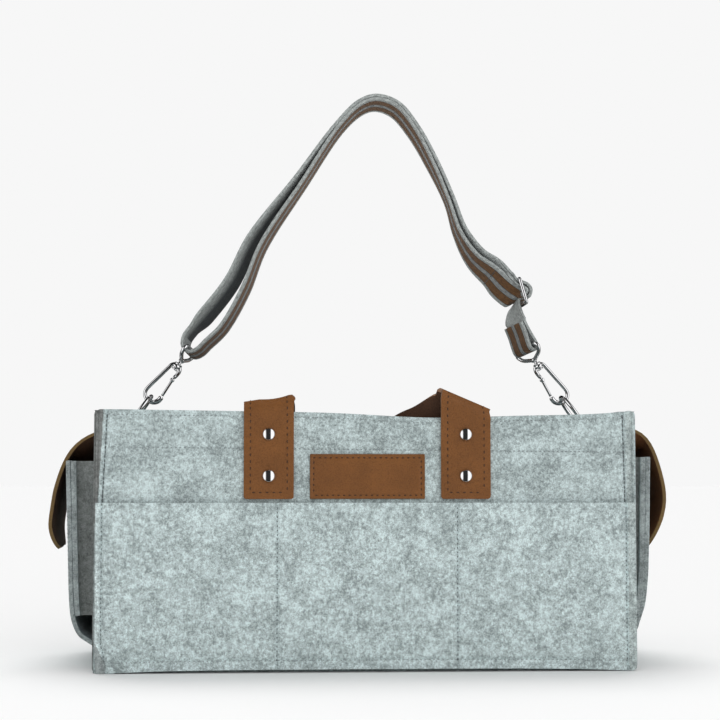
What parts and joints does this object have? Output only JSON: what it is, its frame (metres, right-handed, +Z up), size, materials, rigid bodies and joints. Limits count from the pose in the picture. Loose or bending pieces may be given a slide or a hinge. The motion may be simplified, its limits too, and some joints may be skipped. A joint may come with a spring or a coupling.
{
  "type": "diaper caddy",
  "caption": "Open felt nursery caddy with dividers, slip pockets, flapped bellows side pockets, riveted leather handles and a clip-on webbing shoulder strap.",
  "frame": {"origin": "on the floor, under the middle of the caddy's bounding box", "axes": "+X to the right seen from the front, +Y to the back, +Z up"},
  "size_m": [0.458, 0.2424, 0.4302],
  "materials": {
    "felt": "heathered wool-look felt",
    "leather": "smooth tan, stitched",
    "webbing": "striped woven webbing",
    "chrome": "polished",
    "board": "stiff insert board"
  },
  "bodies": {
    "caddy": {"base_panel": "felt", "base_board": "board", "left_divider": "felt", "right_divider": "felt", "label_patch": "leather", "front_wall": "felt", "front_rim_facing": "felt", "front_slip_pockets": "felt", "front_handle_left_leg": "leather", "front_handle_right_leg": "leather", "front_left_lower_rivet": "chrome", "front_left_upper_rivet": "chrome", "front_right_lower_rivet": "chrome", "front_right_upper_rivet": "chrome", "back_wall": "felt", "back_rim_facing": "felt", "back_slip_pockets": "felt", "back_handle_left_leg": "leather", "back_handle_right_leg": "leather", "back_left_lower_rivet": "chrome", "back_left_upper_rivet": "chrome", "back_right_lower_rivet": "chrome", "back_right_upper_rivet": "chrome", "left_side_wall": "felt", "left_pocket_panel": "felt", "left_pocket_front_gusset": "felt", "left_pocket_rear_gusset": "felt", "left_flap_strip": "leather", "left_ring_tab": "webbing", "right_side_wall": "felt", "right_pocket_panel": "felt", "right_pocket_front_gusset": "felt", "right_pocket_rear_gusset": "felt", "right_flap_strip": "leather", "right_ring_tab": "webbing"},
    "left_flap": {"left_flap": "leather"},
    "right_flap": {"right_flap": "leather"},
    "front_grip": {"front_handle_grip": "leather"},
    "back_grip": {"back_handle_grip": "leather"},
    "strap": {"shoulder_strap": "webbing", "strap_slider": "chrome", "left_swivel_eye": "chrome", "right_swivel_eye": "chrome"},
    "left_hook": {"left_hook_body": "chrome", "left_gate_pin": "chrome"},
    "left_gate": {"left_hook_gate": "chrome"},
    "left_ring": {"left_ring": "chrome"},
    "right_hook": {"right_hook_body": "chrome", "right_gate_pin": "chrome"},
    "right_gate": {"right_hook_gate": "chrome"},
    "right_ring": {"right_ring": "chrome"}
  },
  "joints": [
    {"name": "left_flap_hinge", "type": "hinge", "parent": "caddy", "child": "left_flap", "pos_m": [-0.1859, 0, 0.17215], "axis": [0, 1, 0], "range_deg": [0, 75]},
    {"name": "right_flap_hinge", "type": "hinge", "parent": "caddy", "child": "right_flap", "pos_m": [0.1859, 0, 0.17215], "axis": [0, -1, 0], "range_deg": [0, 75]},
    {"name": "front_handle_fold", "type": "hinge", "parent": "caddy", "child": "front_grip", "pos_m": [0, -0.1114, 0.199], "axis": [1, 0, 0], "range_deg": [0, 160]},
    {"name": "back_handle_fold", "type": "hinge", "parent": "caddy", "child": "back_grip", "pos_m": [0, 0.1114, 0.199], "axis": [-1, 0, 0], "range_deg": [0, 160]},
    {"name": "strap_swing", "type": "hinge", "parent": "caddy", "child": "strap", "pos_m": [0, 0, 0.19768], "axis": [1, 0, 0], "range_deg": [-25, 25]},
    {"name": "left_hook_swivel", "type": "hinge", "parent": "strap", "child": "left_hook", "pos_m": [-0.13656, 0, 0.22295], "axis": [0.6428, 0, 0.766], "range_deg": [-10, 10]},
    {"name": "left_gate_hinge", "type": "hinge", "parent": "left_hook", "child": "left_gate", "pos_m": [-0.14211, 0, 0.21012], "axis": [0, 1, 0], "range_deg": [0, 18]},
    {"name": "left_ring_swing", "type": "hinge", "parent": "caddy", "child": "left_ring", "pos_m": [-0.1757, 0, 0.173], "axis": [0, 1, 0], "range_deg": [-1.5, 1.5]},
    {"name": "right_hook_swivel", "type": "hinge", "parent": "strap", "child": "right_hook", "pos_m": [0.13838, 0, 0.22437], "axis": [-0.5878, 0, 0.809], "range_deg": [-10, 10]},
    {"name": "right_gate_hinge", "type": "hinge", "parent": "right_hook", "child": "right_gate", "pos_m": [0.14302, 0, 0.21118], "axis": [0, -1, 0], "range_deg": [0, 18]},
    {"name": "right_ring_swing", "type": "hinge", "parent": "caddy", "child": "right_ring", "pos_m": [0.1757, 0, 0.173], "axis": [0, 1, 0], "range_deg": [-1.5, 1.5]}
  ]
}
